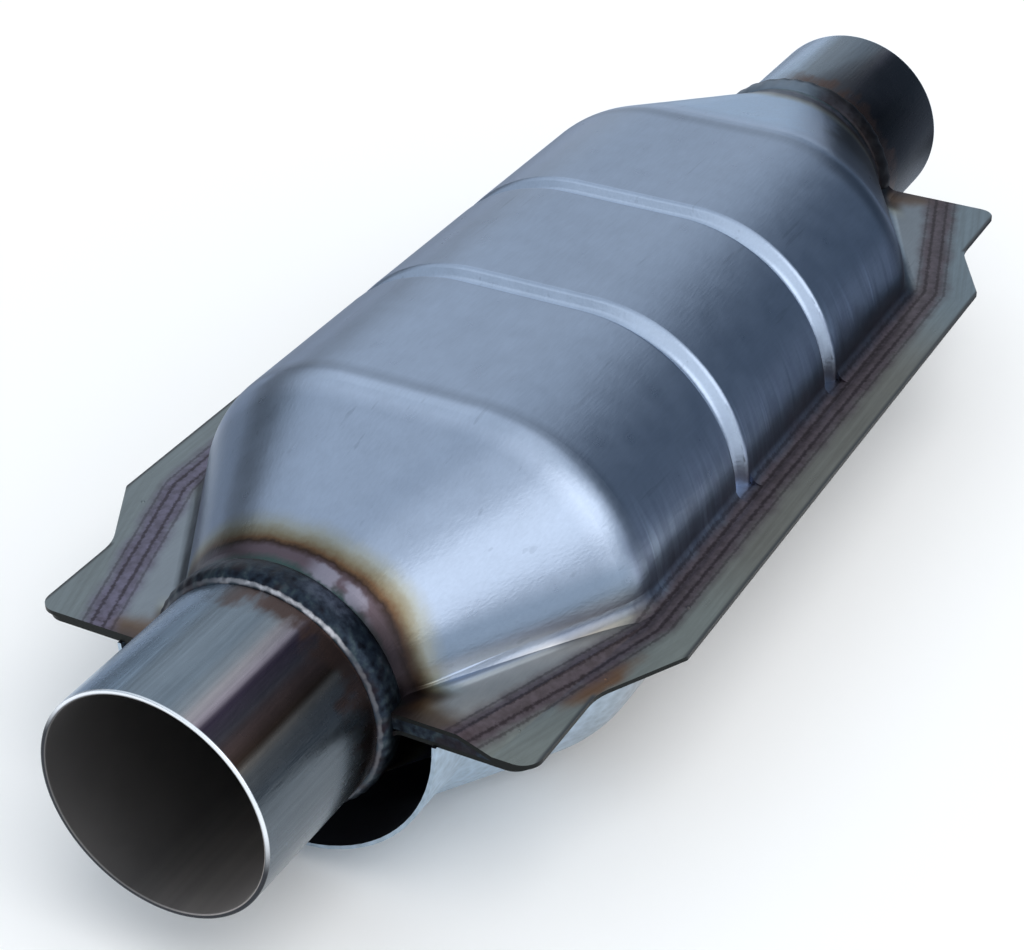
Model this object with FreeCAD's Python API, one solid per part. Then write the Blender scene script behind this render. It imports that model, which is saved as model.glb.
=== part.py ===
# Oval clamshell catalytic converter: two pressed half shells with a wide flange, slip-on pipe
# stubs welded into round necks, two coated bricks held in mats, and a heat shield underneath.
# Millimetres. The model is drawn about its own middle, with +X along the gas flow, +Z up and
# the two shells meeting in the plane z = 0, and it is saved with the inlet mouth's centre as origin.
import FreeCAD, Part
import math
import os
from FreeCAD import Vector

# Pipe stubs: the bore slips over a 57.15 mm exhaust tube.
OVERALL_LENGTH = 406.4
PIPE_BORE = 57.4
PIPE_WALL = 1.3
PIPE_SHOWN = 46.2
PIPE_INSERT = 12.0
NECK_CLEARANCE = 0.1

# Half shells: a flat-topped oval body, tapered ends and round necks.
SHELL_SHEET = 1.2
BODY_FLAT_HALF = 18.0
BODY_RADIUS = 45.0
TAPER_LENGTH = 58.5
NECK_LENGTH = 9.0
CREASE_RADIUS = 20.0
NECK_BLEND_RADIUS = 9.0
ROOT_RADIUS = 4.0

# Stiffening grooves pressed inwards across each shell.
GROOVE_SPACING = 60.0
GROOVE_DEPTH = 3.0
GROOVE_LIP_RADIUS = 2.0
GROOVE_FLOOR_RADIUS = 2.5
GROOVE_WALL_ANGLE = 50.0

# Flange outline: a wide run beside the body and narrower ears beside the necks. The lower
# flange is trimmed narrower, so that only the upper sheet's edge shows from the side.
FLANGE_HALF_WIDTH = 80.5
FLANGE_OVERRUN = 12.0
EAR_HALF_WIDTH = 68.0
EAR_SETBACK = 1.5
EAR_STEP_LENGTH = 23.0
EAR_CORNER_RADIUS = 5.0
NOTCH_RADIUS = 14.0
STEP_CORNER_RADIUS = 2.0
LOWER_TRIM = 1.8

# Lift of the upper sheet on the front right ear. It starts at a point beside the body's end and is
# greatest at the flange's end, level beside the neck and then falling. Weld metal closes the gap.
EAR_LIFT = 3.2
EAR_LIFT_OVERRUN = 5.5
EAR_LIFT_SIDE_GAP = 3.0
EAR_LIFT_LEVEL = 17.2
EAR_LIFT_FALL = 9.0
EAR_WELD_DEPTH = 2.5

# Bricks with square channels, their mats and the wire seals at the mats' edges.
BRICK_LENGTH = 76.2
BRICK_GAP = 12.7
BRICK_SKIN = 1.2
CELL_PITCH = 6.35
CELL_WALL = 0.9
MAT_THICKNESS = 5.0
MAT_WIDTH = 62.0
MAT_JOINT_GAP = 0.6
MAT_TONGUE_REACH = 14.0
SEAL_WIDTH = 6.0
SEAL_EDGE_RADIUS = 1.5

# Heat shield under the lower shell: an oval boat with a short round collar at each end.
SHIELD_SHEET = 1.0
SHIELD_STANDOFF = 4.0
SHIELD_BODY_OVERRUN = 9.5
SHIELD_COLLAR_LENGTH = 17.0
SHIELD_COLLAR_GAP = 12.4
SHIELD_END_SETBACK = 0.8
SHIELD_CREASE_RADIUS = 20.0
SHIELD_COLLAR_BLEND_RADIUS = 14.0
SHIELD_RIM_WIDTH = 9.0
SHIELD_RIM_SETBACK = 4.0
SHIELD_RIM_CORNER_RADIUS = 4.0
SHIELD_ROOT_RADIUS = 3.0
DRAIN_HOLE_RADIUS = 4.0
DRAIN_HOLE_SPACING = 160.0

# Ring welds where the pipes enter the necks: broad beads that lap on to the neck.
WELD_REACH = 1.8
WELD_LAP = 7.5
WELD_CROWN = 0.9
WELD_BULGE = 0.35

MID = OVERALL_LENGTH / 2
PIPE_RADIUS = PIPE_BORE / 2 + PIPE_WALL
NECK_INNER_RADIUS = PIPE_RADIUS + NECK_CLEARANCE
NECK_RADIUS = NECK_INNER_RADIUS + SHELL_SHEET
FLANGE_HALF_LENGTH = MID - PIPE_SHOWN
TAPER_END = FLANGE_HALF_LENGTH - NECK_LENGTH
BODY_HALF_LENGTH = TAPER_END - TAPER_LENGTH
FLANGE_HALF_RUN = BODY_HALF_LENGTH + FLANGE_OVERRUN
CAVITY_RADIUS = BODY_RADIUS - SHELL_SHEET
BRICK_RADIUS = CAVITY_RADIUS - MAT_THICKNESS
SKY = OVERALL_LENGTH
BRICK_CENTRE = (BRICK_LENGTH + BRICK_GAP) / 2
X_AXIS = Vector(1, 0, 0)
ENDS = (-1, 1)


def line(start, end):
    return Part.LineSegment(start, end).toShape()


def arc(start, through, end):
    return Part.Arc(start, through, end).toShape()


def slab(low_z, high_z, half_length=SKY):
    """Block much wider than the whole part, between two heights."""
    corner = Vector(-half_length, -SKY, low_z)
    return Part.makeBox(2 * half_length, 2 * SKY, high_z - low_z, corner)


def oval_wire(x, flat_half, radius):
    """Closed oval in the plane at x: two flats joined by half circles."""
    top_left = Vector(x, flat_half, radius)
    top_right = Vector(x, -flat_half, radius)
    low_right = Vector(x, -flat_half, -radius)
    low_left = Vector(x, flat_half, -radius)
    return Part.Wire([
        line(top_left, top_right),
        arc(top_right, Vector(x, -flat_half - radius, 0), low_right),
        line(low_right, low_left),
        arc(low_left, Vector(x, flat_half + radius, 0), top_left),
    ])


def oval_bar(x_start, x_end, radius):
    face = Part.Face(oval_wire(x_start, BODY_FLAT_HALF, radius))
    return face.extrude(Vector(x_end - x_start, 0, 0))


def round_bar(x_start, x_end, radius):
    return Part.makeCylinder(radius, x_end - x_start, Vector(x_start, 0, 0), X_AXIS)


def half_disc_wire(x, centre_y, radius, side):
    """Half circle on one side of an upright chord, where side is +1 or -1."""
    top = Vector(x, centre_y, radius)
    low = Vector(x, centre_y, -radius)
    return Part.Wire([arc(top, Vector(x, centre_y + side * radius, 0), low), line(low, top)])


def polyhedron(outlines):
    """Solid with flat faces, each given by its corner points in order."""
    faces = [Part.Face(Part.makePolygon(list(points) + [points[0]])) for points in outlines]
    solid = Part.makeSolid(Part.makeShell(faces))
    if solid.Volume < 0:
        solid.reverse()
    return solid


def middle_wedge(x_wide, x_neck, radius, neck_radius):
    """The part of a taper between its two half cones: a rectangle that narrows to a line."""
    left, right = BODY_FLAT_HALF, -BODY_FLAT_HALF
    top_left, top_right = Vector(x_wide, left, radius), Vector(x_wide, right, radius)
    low_left, low_right = Vector(x_wide, left, -radius), Vector(x_wide, right, -radius)
    top, low = Vector(x_neck, 0, neck_radius), Vector(x_neck, 0, -neck_radius)
    return polyhedron((
        (top_left, top_right, low_right, low_left),
        (top_left, top_right, top),
        (low_left, low_right, low),
        (top_right, low_right, low, top),
        (low_left, top_left, top, low),
    ))


def taper(x_wide, x_neck, radius, neck_radius):
    """Straight taper from the body's oval at x_wide to a circle at x_neck."""
    cones = [
        Part.makeLoft([
            half_disc_wire(x_wide, side * BODY_FLAT_HALF, radius, side),
            half_disc_wire(x_neck, 0, neck_radius, side),
        ], True, True)
        for side in (-1, 1)
    ]
    return cones[0].fuse([cones[1], middle_wedge(x_wide, x_neck, radius, neck_radius)])


def edges_in_plane(shape, x):
    near = 1e-4
    return [
        edge for edge in shape.Edges
        if abs(edge.BoundBox.XMin - x) < near and abs(edge.BoundBox.XMax - x) < near
    ]


def can_form(half_run, radius, crease_radius, taper_end, neck_radius, neck_end, blend_radius):
    """Solid oval body with a taper and a round neck at each end, and softened creases."""
    pieces = [oval_bar(-half_run, half_run, radius)]
    for end in ENDS:
        pieces.append(taper(end * half_run, end * taper_end, radius, neck_radius))
        if neck_end > taper_end:
            neck_from, neck_to = sorted((end * taper_end, end * neck_end))
            pieces.append(round_bar(neck_from, neck_to, neck_radius))
    form = pieces[0].fuse(pieces[1:]).removeSplitter()
    form = form.makeFillet(crease_radius, edges_in_plane(form, -half_run) + edges_in_plane(form, half_run))
    if neck_end > taper_end:
        form = form.makeFillet(blend_radius, edges_in_plane(form, -taper_end) + edges_in_plane(form, taper_end))
    return form.Solids[0]


def rounded_plate(corners, low_z, high_z):
    """Flat plate whose corners are (x, y, radius), each rounded by its own radius."""
    edges = []
    tangents = []
    for index, (x, y, radius) in enumerate(corners):
        corner = Vector(x, y, low_z)
        before, after = corners[index - 1], corners[(index + 1) % len(corners)]
        back = (Vector(before[0], before[1], low_z) - corner).normalize()
        ahead = (Vector(after[0], after[1], low_z) - corner).normalize()
        half_angle = back.getAngle(ahead) / 2
        inward = (back + ahead).normalize()
        setback = radius / math.tan(half_angle)
        centre = corner + inward * (radius / math.sin(half_angle))
        tangents.append((corner + back * setback, centre - inward * radius, corner + ahead * setback))
    for index, (start, through, end) in enumerate(tangents):
        edges.append(line(tangents[index - 1][2], start))
        edges.append(arc(start, through, end))
    return Part.Face(Part.Wire(edges)).extrude(Vector(0, 0, high_z - low_z))


def flange_outline(trim):
    """Tall plug with the flange's outline, and the two necks that stand a little beyond it."""
    ear_width, run_width = EAR_HALF_WIDTH - trim, FLANGE_HALF_WIDTH - trim
    quarter = [
        (FLANGE_HALF_LENGTH - EAR_SETBACK, ear_width, EAR_CORNER_RADIUS),
        (FLANGE_HALF_RUN + EAR_STEP_LENGTH, ear_width, NOTCH_RADIUS),
        (FLANGE_HALF_RUN, run_width, STEP_CORNER_RADIUS),
    ]
    half = quarter + [(-x, y, radius) for x, y, radius in reversed(quarter)]
    plug = rounded_plate(half + [(-x, -y, radius) for x, y, radius in half], 0, SKY)
    return plug.fuse(round_bar(-FLANGE_HALF_LENGTH, FLANGE_HALF_LENGTH, NECK_RADIUS))


def root_edges(shape, z, half_length):
    """Edges in the plane at z from which the form rises out of the plate."""
    near = 1e-4
    found = []
    for edge in shape.Edges:
        box = edge.BoundBox
        level = abs(box.ZMin - z) < near and abs(box.ZMax - z) < near
        at_end = abs(abs(box.XMin) - half_length) < near and abs(box.XMax - box.XMin) < near
        if level and not at_end:
            faces = shape.ancestorsOfType(edge, Part.Face)
            if any(face.BoundBox.ZMax > z + near for face in faces):
                found.append(edge)
    return found


def draped(form, plate, root_radius, half_length):
    """The upper half of a form standing on a plate, with a rounded root between the two."""
    top_z = plate.BoundBox.ZMax
    block = form.common(slab(plate.BoundBox.ZMin, SKY)).fuse(plate).removeSplitter()
    return block.makeFillet(root_radius, root_edges(block, top_z, half_length)).Solids[0]


def ear_lift(low_z):
    """Low roof over the front right ear, which lifts the sheet between the neck and the seam."""
    tip_x, end_x = -BODY_HALF_LENGTH - EAR_LIFT_OVERRUN, -FLANGE_HALF_LENGTH
    tip_width = BODY_FLAT_HALF + BODY_RADIUS + EAR_LIFT_SIDE_GAP
    level_width = NECK_RADIUS + EAR_LIFT_LEVEL
    tip, foot, shoulder, tip_root, end_root, crown = (
        Vector(x, -half_width, low_z + height)
        for x, half_width, height in (
            (tip_x, tip_width, 0),
            (end_x, level_width + EAR_LIFT_FALL, 0),
            (end_x, level_width, EAR_LIFT),
            (tip_x, 0, 0),
            (end_x, 0, 0),
            (end_x, 0, EAR_LIFT),
        )
    )
    return polyhedron((
        (tip_root, tip, foot, end_root),
        (tip_root, tip, shoulder, crown),
        (end_root, foot, shoulder, crown),
        (tip, foot, shoulder),
        (tip_root, end_root, crown),
    ))


def groove_outline(x, radius, lip_radius, floor_radius):
    """Cross-section of one groove, as a face in the upright plane through the body's axis."""
    angle = math.radians(GROOVE_WALL_ANGLE)
    rounds = lip_radius + floor_radius
    straight = (GROOVE_DEPTH - rounds * (1 - math.cos(angle))) / math.tan(angle)
    half_width = rounds * math.sin(angle) + straight
    half_angle = angle / 2

    def point(side, across, height):
        return Vector(x + side * across, 0, radius + height)

    def floor_point(side, turn):
        height = -GROOVE_DEPTH + floor_radius * (1 - math.cos(turn))
        return point(side, floor_radius * math.sin(turn), height)

    def lip_point(side, turn):
        height = -lip_radius * (1 - math.cos(turn))
        return point(side, half_width - lip_radius * math.sin(turn), height)

    clear = 2 * ROOT_RADIUS
    left, right = -1, 1
    return Part.Face(Part.Wire([
        arc(floor_point(left, angle), floor_point(left, 0), floor_point(right, angle)),
        line(floor_point(right, angle), lip_point(right, angle)),
        arc(lip_point(right, angle), lip_point(right, half_angle), lip_point(right, 0)),
        line(lip_point(right, 0), point(right, half_width, clear)),
        line(point(right, half_width, clear), point(left, half_width, clear)),
        line(point(left, half_width, clear), lip_point(left, 0)),
        arc(lip_point(left, 0), lip_point(left, half_angle), lip_point(left, angle)),
        line(lip_point(left, angle), floor_point(left, angle)),
    ]))


def groove_ring(x, radius, lip_radius, floor_radius):
    """What a groove takes away, all the way round the oval."""
    outline = groove_outline(x, radius, lip_radius, floor_radius)
    flat = Vector(0, 2 * BODY_FLAT_HALF, 0)
    right_corner = outline.translated(-flat / 2)
    left_corner = outline.translated(flat / 2)
    low_flat = right_corner.extrude(flat).mirror(Vector(), Vector(0, 0, 1))
    return right_corner.extrude(flat).fuse([
        low_flat,
        right_corner.revolve(-flat / 2, X_AXIS, 180),
        left_corner.revolve(flat / 2, X_AXIS, -180),
    ])


def groove_rings(radius, sheet_offset):
    """Both grooves, for the outside of a sheet or for a skin that lies sheet_offset inside it."""
    lip_radius = GROOVE_LIP_RADIUS - sheet_offset
    floor_radius = GROOVE_FLOOR_RADIUS + sheet_offset
    return [
        groove_ring(end * GROOVE_SPACING / 2, radius - sheet_offset, lip_radius, floor_radius)
        for end in ENDS
    ]


def half_shell(lifted, trim):
    """Pressed shell, drawn as the upper one: the sheet between two draped blocks, one sheet apart."""
    skins = []
    for offset in (0, SHELL_SHEET):
        form = can_form(
            BODY_HALF_LENGTH, BODY_RADIUS - offset, CREASE_RADIUS - offset,
            TAPER_END, NECK_RADIUS - offset, FLANGE_HALF_LENGTH, NECK_BLEND_RADIUS + offset)
        top_z = SHELL_SHEET - offset
        blank = slab(-SHELL_SHEET, top_z, FLANGE_HALF_LENGTH)
        block = draped(form, blank, ROOT_RADIUS + offset, FLANGE_HALF_LENGTH)
        if lifted:
            block = block.fuse(ear_lift(top_z))
        rings = [ring.common(slab(top_z, SKY)) for ring in groove_rings(BODY_RADIUS, offset)]
        skins.append(block.cut(rings))
    sheet = skins[0].cut(skins[1])
    return sheet.common(flange_outline(trim)).common(slab(0, SKY)).removeSplitter()


def pipe(end):
    mouth, inner_end = end * MID, end * (FLANGE_HALF_LENGTH - PIPE_INSERT)
    start, stop = sorted((mouth, inner_end))
    return round_bar(start, stop, PIPE_RADIUS).cut(round_bar(start, stop, PIPE_BORE / 2))


def ring_weld(end):
    """Bead from the pipe over a neck's end face and back along the neck, before the flange cuts it."""
    def point(along, radius):
        return Vector(end * (FLANGE_HALF_LENGTH + along), 0, radius)

    def bulged(start, stop):
        chord = stop - start
        outward = Vector(-chord.z, 0, chord.x).normalize() * -end
        return arc(start, (start + stop) / 2 + outward * WELD_BULGE, stop)

    toe = point(WELD_REACH, PIPE_RADIUS)
    crown = point(-WELD_CROWN, NECK_RADIUS + WELD_CROWN)
    heel = point(-WELD_LAP, NECK_RADIUS)
    neck_edge = point(0, NECK_RADIUS)
    corner = point(0, PIPE_RADIUS)
    section = Part.Wire([
        bulged(toe, crown),
        bulged(crown, heel),
        line(heel, neck_edge),
        line(neck_edge, corner),
        line(corner, toe),
    ])
    return Part.Face(section).revolve(Vector(), X_AXIS, 360)


def ear_weld():
    """Weld metal that closes the front right ear, from the pipe to where the two sheets meet."""
    corner = Vector(-FLANGE_HALF_LENGTH + EAR_SETBACK, -SKY, 0)
    strip = Part.makeBox(EAR_WELD_DEPTH, SKY, EAR_LIFT, corner)
    return ear_lift(0).common(strip).cut(round_bar(-MID, 0, PIPE_RADIUS))


def brick(end):
    """Coated brick with a solid skin and a square grid of straight channels."""
    start = end * BRICK_CENTRE - BRICK_LENGTH / 2
    reach = BRICK_RADIUS - BRICK_SKIN
    half_cell = (CELL_PITCH - CELL_WALL) / 2
    columns = math.ceil((BODY_FLAT_HALF + reach) / CELL_PITCH)
    rows = math.ceil(reach / CELL_PITCH)
    channels = []
    for column in range(-columns, columns + 1):
        for row in range(-rows, rows + 1):
            y, z = column * CELL_PITCH, row * CELL_PITCH
            corner_y = max(abs(y) + half_cell - BODY_FLAT_HALF, 0)
            corner_z = abs(z) + half_cell
            if math.hypot(corner_y, corner_z) < reach:
                corners = [
                    Vector(start, y + across * half_cell, z + up * half_cell)
                    for across, up in ((-1, -1), (1, -1), (1, 1), (-1, 1), (-1, -1))
                ]
                channels.append(Part.makePolygon(corners))
    end_face = Part.Face([oval_wire(start, BODY_FLAT_HALF, BRICK_RADIUS)] + channels)
    end_face.validate()
    return end_face.extrude(Vector(BRICK_LENGTH, 0, 0))


def sleeve(x_start, x_end):
    """Oval ring that fills the space between a brick and the shells."""
    return oval_bar(x_start, x_end, CAVITY_RADIUS).cut(oval_bar(x_start, x_end, BRICK_RADIUS))


def mat(end):
    """Mat wrapped round a brick, pressed in under the groove, with a tongue joint at the bottom."""
    start = end * BRICK_CENTRE - MAT_WIDTH / 2
    third = MAT_WIDTH / 3
    half_gap = MAT_JOINT_GAP / 2
    tongue = MAT_TONGUE_REACH / 2
    low = Vector(0, 0, -SKY)
    slit = []
    for index, y in enumerate((-tongue, tongue, -tongue)):
        corner = Vector(start + index * third, y - half_gap, 0) + low
        slit.append(Part.makeBox(third, MAT_JOINT_GAP, SKY, corner))
    for index in (1, 2):
        corner = Vector(start + index * third - half_gap, -tongue - half_gap, 0) + low
        slit.append(Part.makeBox(MAT_JOINT_GAP, MAT_TONGUE_REACH + MAT_JOINT_GAP, SKY, corner))
    return sleeve(start, start + MAT_WIDTH).cut(groove_rings(BODY_RADIUS, SHELL_SHEET) + slit)


def end_seal(end, side):
    """Knitted wire ring that closes one edge of a mat, with rounded corners."""
    mat_edge = end * BRICK_CENTRE + side * MAT_WIDTH / 2
    start, stop = sorted((mat_edge, mat_edge + side * SEAL_WIDTH))
    ring = sleeve(start, stop)
    exposed = edges_in_plane(ring, mat_edge + side * SEAL_WIDTH)
    return ring.makeFillet(SEAL_EDGE_RADIUS, exposed)


def heat_shield():
    """Cover under the lower shell, drawn upside down on the flange and then turned over."""
    radius = BODY_RADIUS + SHIELD_STANDOFF
    collar_radius = NECK_RADIUS + SHIELD_COLLAR_GAP
    half_length = FLANGE_HALF_LENGTH - SHIELD_END_SETBACK
    rim_x = FLANGE_HALF_RUN - SHIELD_RIM_SETBACK
    rim_y = BODY_FLAT_HALF + radius + SHIELD_RIM_WIDTH
    skins = []
    for offset in (0, SHIELD_SHEET):
        form = can_form(
            BODY_HALF_LENGTH + SHIELD_BODY_OVERRUN, radius - offset, SHIELD_CREASE_RADIUS - offset,
            half_length - SHIELD_COLLAR_LENGTH, collar_radius - offset, half_length,
            SHIELD_COLLAR_BLEND_RADIUS + offset)
        form.translate(Vector(0, 0, SHELL_SHEET))
        corners = [
            (side_x * rim_x, side_y * (rim_y + offset), SHIELD_RIM_CORNER_RADIUS)
            for side_x, side_y in ((1, 1), (-1, 1), (-1, -1), (1, -1))
        ]
        plate = rounded_plate(corners, SHELL_SHEET - offset, SHELL_SHEET + SHIELD_SHEET - offset)
        skins.append(draped(form, plate, SHIELD_ROOT_RADIUS + offset, half_length))
    sheet = skins[0].cut(skins[1]).common(slab(SHELL_SHEET, SKY))
    drains = [
        Part.makeCylinder(DRAIN_HOLE_RADIUS, SKY, Vector(end * DRAIN_HOLE_SPACING / 2, 0, 0))
        for end in ENDS
    ]
    return sheet.cut(drains).mirror(Vector(), Vector(0, 0, 1))


def all_pieces():
    upper = half_shell(lifted=True, trim=0)
    lower = half_shell(lifted=False, trim=LOWER_TRIM).mirror(Vector(), Vector(0, 0, 1))
    pieces = {
        "upper_half_shell": upper,
        "lower_half_shell": lower,
        "heat_shield": heat_shield(),
        "front_ear_weld": ear_weld().cut([upper, lower]),
    }
    for end, pipe_name, brick_name in ((-1, "inlet", "front"), (1, "outlet", "rear")):
        pieces[pipe_name + "_pipe"] = pipe(end)
        pieces[pipe_name + "_ring_weld"] = ring_weld(end).cut([upper, lower, pieces["front_ear_weld"]])
        pieces[brick_name + "_brick"] = brick(end)
        pieces[brick_name + "_mat"] = mat(end)
        pieces[brick_name + "_brick_inlet_seal"] = end_seal(end, -1)
        pieces[brick_name + "_brick_outlet_seal"] = end_seal(end, 1)
    return pieces


os.makedirs("parts", exist_ok=True)
for name, shape in all_pieces().items():
    shape.translated(Vector(MID, 0, 0)).exportStep("parts/" + name + ".step")
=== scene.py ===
# Oval catalytic converter: two pressed steel half shells, pipe stubs, weld beads, heat shield,
# coated bricks, mats and wire seals. Metres, origin at the inlet mouth, +X along the gas flow.
import bpy
import math
import numpy as np
from mathutils import Matrix, Vector


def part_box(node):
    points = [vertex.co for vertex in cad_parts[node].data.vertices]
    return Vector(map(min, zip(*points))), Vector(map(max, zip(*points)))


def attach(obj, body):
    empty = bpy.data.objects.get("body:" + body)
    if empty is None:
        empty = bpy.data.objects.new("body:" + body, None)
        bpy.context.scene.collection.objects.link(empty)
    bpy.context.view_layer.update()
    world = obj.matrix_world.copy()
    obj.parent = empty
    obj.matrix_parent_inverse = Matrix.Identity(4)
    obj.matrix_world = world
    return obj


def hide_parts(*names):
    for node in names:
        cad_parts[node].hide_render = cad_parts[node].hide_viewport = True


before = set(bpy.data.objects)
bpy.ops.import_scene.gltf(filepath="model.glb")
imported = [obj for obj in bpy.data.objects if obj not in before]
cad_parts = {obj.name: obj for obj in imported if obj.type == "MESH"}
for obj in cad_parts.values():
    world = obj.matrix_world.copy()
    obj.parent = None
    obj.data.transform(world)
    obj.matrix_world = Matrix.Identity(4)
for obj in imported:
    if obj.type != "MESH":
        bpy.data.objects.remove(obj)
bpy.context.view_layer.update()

# Camera: a long lens in front of the inlet's right side, looking down along the body.
CAMERA_PLACE = (-0.3199, -0.2657, 0.3423)
CAMERA_HEADING = 61.84
CAMERA_DROP = 32.73
CAMERA_ROLL = -0.41
CAMERA_LENS = 85.64
CAMERA_SHIFT = (-0.0218, 0.0167)

heading, drop = math.radians(CAMERA_HEADING), math.radians(CAMERA_DROP)
reach = math.cos(drop)
forward = Vector((math.sin(heading) * reach, math.cos(heading) * reach, -math.sin(drop)))
rightward = Vector((math.cos(heading), -math.sin(heading), 0))
upward = rightward.cross(forward)
camera_data = bpy.data.cameras.new("camera")
camera_data.lens = CAMERA_LENS
camera_data.shift_x, camera_data.shift_y = CAMERA_SHIFT
camera = bpy.data.objects.new("camera", camera_data)
turn = Matrix((rightward, upward, -forward)).transposed()
turn = turn @ Matrix.Rotation(math.radians(CAMERA_ROLL), 3, "Z")
camera.matrix_world = Matrix.Translation(CAMERA_PLACE) @ turn.to_4x4()
bpy.context.scene.collection.objects.link(camera)
bpy.context.scene.camera = camera

# Half shells: 1.2 mm stainless sheet pressed into an oval body with tapered ends and a wide flange.
# Mill finish with upright draw marks low on the sides, heat tinted at both necks and along the
# welded seam, with painted highlights and shade on its forms and edges.
UPPER_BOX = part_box("upper_half_shell")
MIDDLE = (UPPER_BOX[0].x + UPPER_BOX[1].x) / 2
FLANGE_END = (UPPER_BOX[1].x - UPPER_BOX[0].x) / 2
FLANGE_WIDTH = 0.0805
EAR_WIDTH = 0.068
EAR_START = 0.124
SEAM_SIDE = 0.0682
SEAM_TURN = 0.095
SEAM_SLOPE = 0.30
ROOT_SIDE = 0.0665
ROOT_TURN = 0.084
ROOT_SLOPE = 0.50
WHITE = (1, 1, 1, 1)
BODY_STEEL = (0.34, 0.41, 0.53, 1)
FLANGE_STEEL = (0.205, 0.225, 0.210, 1)
INNER_WARM = (0.43, 0.395, 0.345, 1)
INNER_COOL = (0.225, 0.255, 0.285, 1)
OUTER_REAR = (0.205, 0.255, 0.285, 1)
OUTER_LEFT = (0.195, 0.225, 0.235, 1)
OUTER_RUN_DYE = (0.88, 0.80, 0.76, 1)


def node(tree, kind, inputs=(), **settings):
    """New shader node whose inputs are set to constants or linked to sockets."""
    made = tree.nodes.new("ShaderNode" + kind)
    for name, value in settings.items():
        setattr(made, name, value)
    feed(tree, made, inputs)
    return made


def feed(tree, made, inputs):
    """Set each input of a node to a constant, or link it to a socket."""
    for key, value in dict(inputs).items():
        if isinstance(value, bpy.types.NodeSocket):
            tree.links.new(value, made.inputs[key])
        else:
            made.inputs[key].default_value = value


def maths(tree, operation, *values):
    return node(tree, "Math", enumerate(values), operation=operation).outputs[0]


def product(tree, *values):
    """Product of two or more values."""
    result = values[0]
    for value in values[1:]:
        result = maths(tree, "MULTIPLY", result, value)
    return result


def added(tree, value, share, base):
    """base + share * value."""
    return maths(tree, "MULTIPLY_ADD", value, share, base)


def away(tree, value, centre):
    """Distance of a value from a centre."""
    return maths(tree, "ABSOLUTE", maths(tree, "SUBTRACT", value, centre))


def span(tree, first, second):
    """Length of the hypotenuse over two sides."""
    squares = product(tree, first, first), product(tree, second, second)
    return maths(tree, "SQRT", maths(tree, "ADD", *squares))


def ease(tree, value, low, high, start=0.0, stop=1.0):
    """Smooth step of a value, from start at low to stop at high."""
    inputs = enumerate((value, low, high, start, stop))
    return node(tree, "MapRange", inputs, interpolation_type="SMOOTHSTEP").outputs[0]


def fade(tree, value, low, high, start=1.0):
    """Smooth step of a value, from start at low down to nothing at high."""
    return ease(tree, value, low, high, start, 0.0)


def split(tree, vector):
    return node(tree, "SeparateXYZ", {0: vector}).outputs


def joined(tree, x, y):
    return node(tree, "CombineXYZ", {0: x, 1: y}).outputs[0]


def blend(tree, factor, first, second, kind="MIX"):
    inputs = {0: factor, 6: first, 7: second}
    return node(tree, "Mix", inputs, data_type="RGBA", blend_type=kind).outputs[2]


def dye(tree, factor, colour, tint):
    """The colour multiplied by a tint, by as much as the factor says."""
    return blend(tree, factor, colour, tint, "MULTIPLY")


def noise(tree, place, scale, detail=3.0, stretch=(1, 1, 1)):
    """Noise from 0 to 1, drawn out along the axes whose stretch is small."""
    mapped = node(tree, "Mapping", {"Vector": place, "Scale": stretch}).outputs[0]
    return node(tree, "TexNoise", {"Vector": mapped, "Scale": scale, "Detail": detail}).outputs[0]


def centred(tree, pattern):
    """A pattern from 0 to 1 moved to lie from -0.5 to 0.5."""
    return maths(tree, "SUBTRACT", pattern, 0.5)


def ramp(tree, factor, stops):
    """Colour ramp through stops of (place, colour)."""
    made = node(tree, "ValToRGB", {0: factor})
    band = made.color_ramp
    for index, (place, colour) in enumerate(stops):
        stop = band.elements[index] if index < 2 else band.elements.new(place)
        stop.position = place
        stop.color = colour
    return made.outputs[0]


def effect(name, inputs, outputs):
    """Empty node group with named sockets; inputs and outputs are (name, kind) pairs."""
    tree = bpy.data.node_groups.new(name, "ShaderNodeTree")
    for direction, sockets in (("INPUT", inputs), ("OUTPUT", outputs)):
        for socket, kind in sockets:
            tree.interface.new_socket(socket, in_out=direction, socket_type="NodeSocket" + kind)
    return tree, tree.nodes.new("NodeGroupInput").outputs, tree.nodes.new("NodeGroupOutput").inputs


def place_effect(tree, group, inputs):
    placed = tree.nodes.new("ShaderNodeGroup")
    placed.node_tree = group
    feed(tree, placed, inputs)
    return placed.outputs


def material(name, metallic=0.0):
    """New material with its tree, its shader and its object coordinates."""
    made = bpy.data.materials.new(name)
    made.use_nodes = True
    tree = made.node_tree
    shader = tree.nodes["Principled BSDF"]
    shader.inputs["Metallic"].default_value = metallic
    return made, tree, shader, node(tree, "TexCoord").outputs["Object"]


def wear(tree, shader, colour, roughness, height, strength, distance):
    bump = node(tree, "Bump", {"Height": height, "Strength": strength, "Distance": distance})
    feed(tree, shader, {"Base Color": colour, "Roughness": roughness, "Normal": bump.outputs[0]})


def dress(made, *names):
    """Give the named pieces of the frame one material."""
    for name in names:
        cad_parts[name].data.materials.clear()
        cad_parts[name].data.materials.append(made)


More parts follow.
